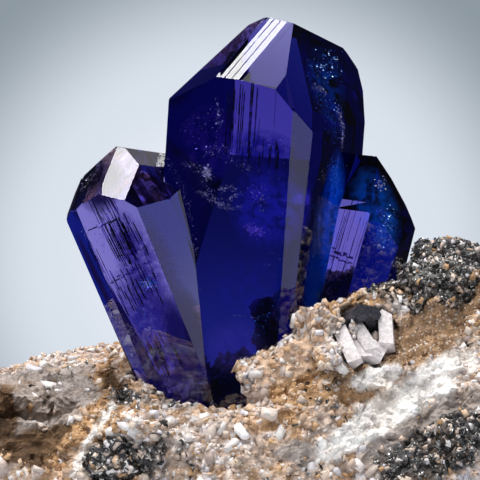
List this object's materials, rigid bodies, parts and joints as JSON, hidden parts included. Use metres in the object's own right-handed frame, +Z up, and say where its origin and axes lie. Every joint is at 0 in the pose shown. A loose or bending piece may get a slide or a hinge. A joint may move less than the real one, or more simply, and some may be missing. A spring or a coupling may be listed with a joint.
{
  "type": "rough tanzanite specimen",
  "caption": "Cluster of steep blue-violet gem crystals with faceted tips, grown out of a broken piece of pale rock that rests on a level underside.",
  "frame": {"origin": "on the level underside, below the middle of the tall crystal's foot", "axes": "+Z up, +X to the right seen from the front, -Y towards the front with the broad prism face"},
  "size_m": [0.0774, 0.046, 0.059],
  "materials": {
    "tanzanite": "polished natural crystal faces, deep blue-violet, clear",
    "matrix": "rough broken white, tan and brown rock",
    "white_mineral": "satin white blades",
    "graphite": "dark flakes with a metallic sheen"
  },
  "bodies": {
    "root": {"tanzanite_crystals": "tanzanite", "matrix_rock": "matrix", "white_blades": "white_mineral", "graphite_plate": "graphite", "graphite_flakes_right": "graphite", "graphite_flakes_left": "graphite"}
  },
  "joints": []
}
